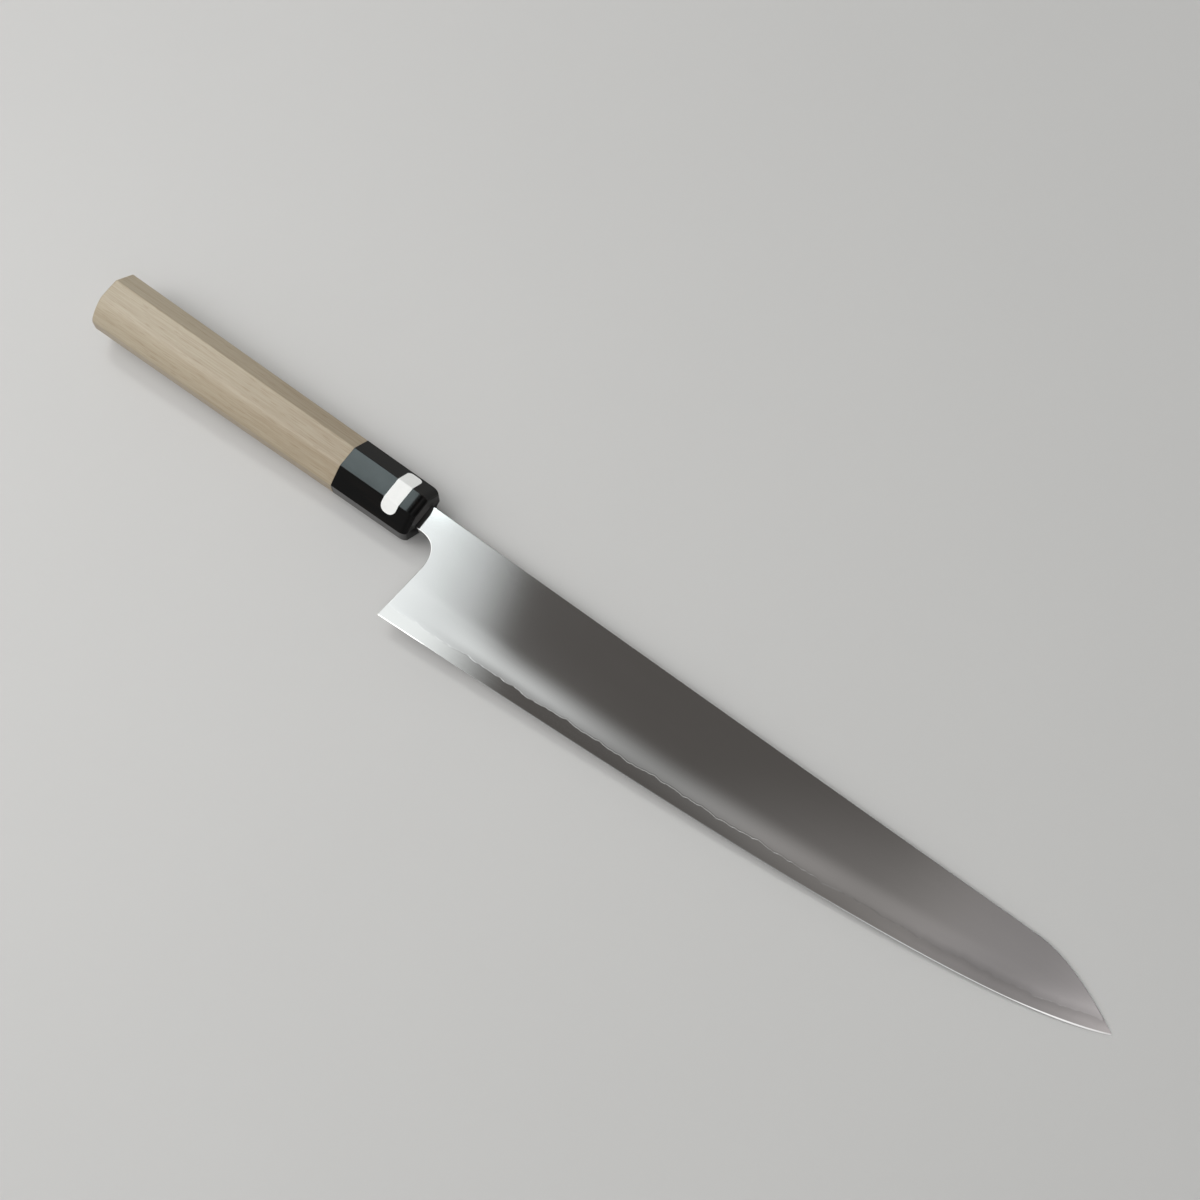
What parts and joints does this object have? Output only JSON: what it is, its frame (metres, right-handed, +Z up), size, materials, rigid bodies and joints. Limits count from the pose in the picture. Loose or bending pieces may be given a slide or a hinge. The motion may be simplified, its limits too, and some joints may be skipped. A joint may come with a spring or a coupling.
{
  "type": "sujihiki knife",
  "caption": "Long slim slicing knife with a laminated steel blade, pale eight-sided wooden handle, black horn ferrule and a blank paper band.",
  "frame": {"origin": "middle of the bounding box, on its lowest plane", "axes": "+X along the handle's axis towards the tip, +Y towards the spine with the edge facing -Y, +Z up from the surface the knife lies on, out of the blade's right side"},
  "size_m": [0.4144, 0.047, 0.019],
  "materials": {
    "core_steel": "fine polish, a little darker than the cladding",
    "cladding_steel": "fine satin",
    "handle_wood": "bare, smooth, fine straight grain along the handle",
    "horn": "polished black horn",
    "dowel_wood": "turned, hidden inside",
    "seal_resin": "dark resin, hidden inside",
    "label_paper": "matte white paper, blank"
  },
  "bodies": {
    "root": {"blade_core": "core_steel", "blade_cladding_right": "cladding_steel", "blade_cladding_left": "cladding_steel", "handle_body": "handle_wood", "horn_ferrule": "horn", "joining_dowel": "dowel_wood", "tang_seal": "seal_resin", "ferrule_label": "label_paper"}
  },
  "joints": []
}
